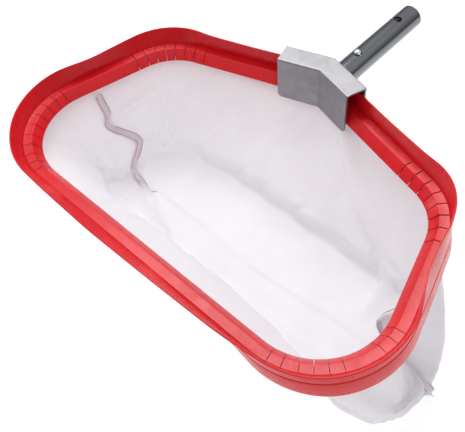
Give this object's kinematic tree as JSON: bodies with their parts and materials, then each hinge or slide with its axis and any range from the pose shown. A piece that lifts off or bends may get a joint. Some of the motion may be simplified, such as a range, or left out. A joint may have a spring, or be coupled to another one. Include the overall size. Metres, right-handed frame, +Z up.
{
  "type": "leaf skimmer net",
  "caption": "Pool leaf skimmer: a bent plastic rim with a raised lip carries a hanging fine-mesh bag; a V-shaped aluminium yoke joins it to a short spigot tube with spring buttons.",
  "frame": {"origin": "on the spigot tube's axis, midway between its spring button and its locking hole, where the pole grips it", "axes": "+Y along the spigot tube, away from the net; +Z up, out of the net's mouth; +X across the rim, left to right seen from behind the scooping edge"},
  "size_m": [0.536, 0.465, 0.1685],
  "materials": {
    "red_plastic": "glossy injection-moulded or extruded plastic, red",
    "yoke_aluminium": "folded sheet, fine tumbled finish",
    "screw_steel": "stainless pan heads",
    "tube_aluminium": "drawn tube, bright mill finish",
    "weld_aluminium": "as welded, rippled",
    "spring_steel": "stainless spring strip",
    "button_steel": "polished stainless dome",
    "net_mesh": "fine white woven mesh",
    "seam_tape": "white woven binding tape",
    "seam_thread": "red polyester thread",
    "hem_cord": "white plastic bead cord",
    "hem_band": "white hem fabric"
  },
  "bodies": {
    "skimmer": {"rim": "red_plastic", "yoke": "yoke_aluminium", "yoke_screws": "screw_steel", "handle_tube": "tube_aluminium", "tube_weld": "weld_aluminium", "clip_fold": "spring_steel", "net_front_panel": "net_mesh", "net_rear_panel": "net_mesh", "seam_tape": "seam_tape", "seam_thread": "seam_thread", "hem_cord": "hem_cord", "hem_band": "hem_band"},
    "button_arm_upper": {"clip_leg_upper": "spring_steel", "button_upper": "button_steel"},
    "button_arm_lower": {"clip_leg_lower": "spring_steel", "button_lower": "button_steel"}
  },
  "joints": [
    {"name": "upper_button_press", "type": "hinge", "parent": "skimmer", "child": "button_arm_upper", "pos_m": [0, -0.0745, 0], "axis": [-1, 0, 0], "range_deg": [0, 7.5], "stiffness_Nm_per_rad": 1.2},
    {"name": "lower_button_press", "type": "hinge", "parent": "skimmer", "child": "button_arm_lower", "pos_m": [0, -0.0745, 0], "axis": [1, 0, 0], "range_deg": [0, 7.5], "stiffness_Nm_per_rad": 1.2}
  ]
}
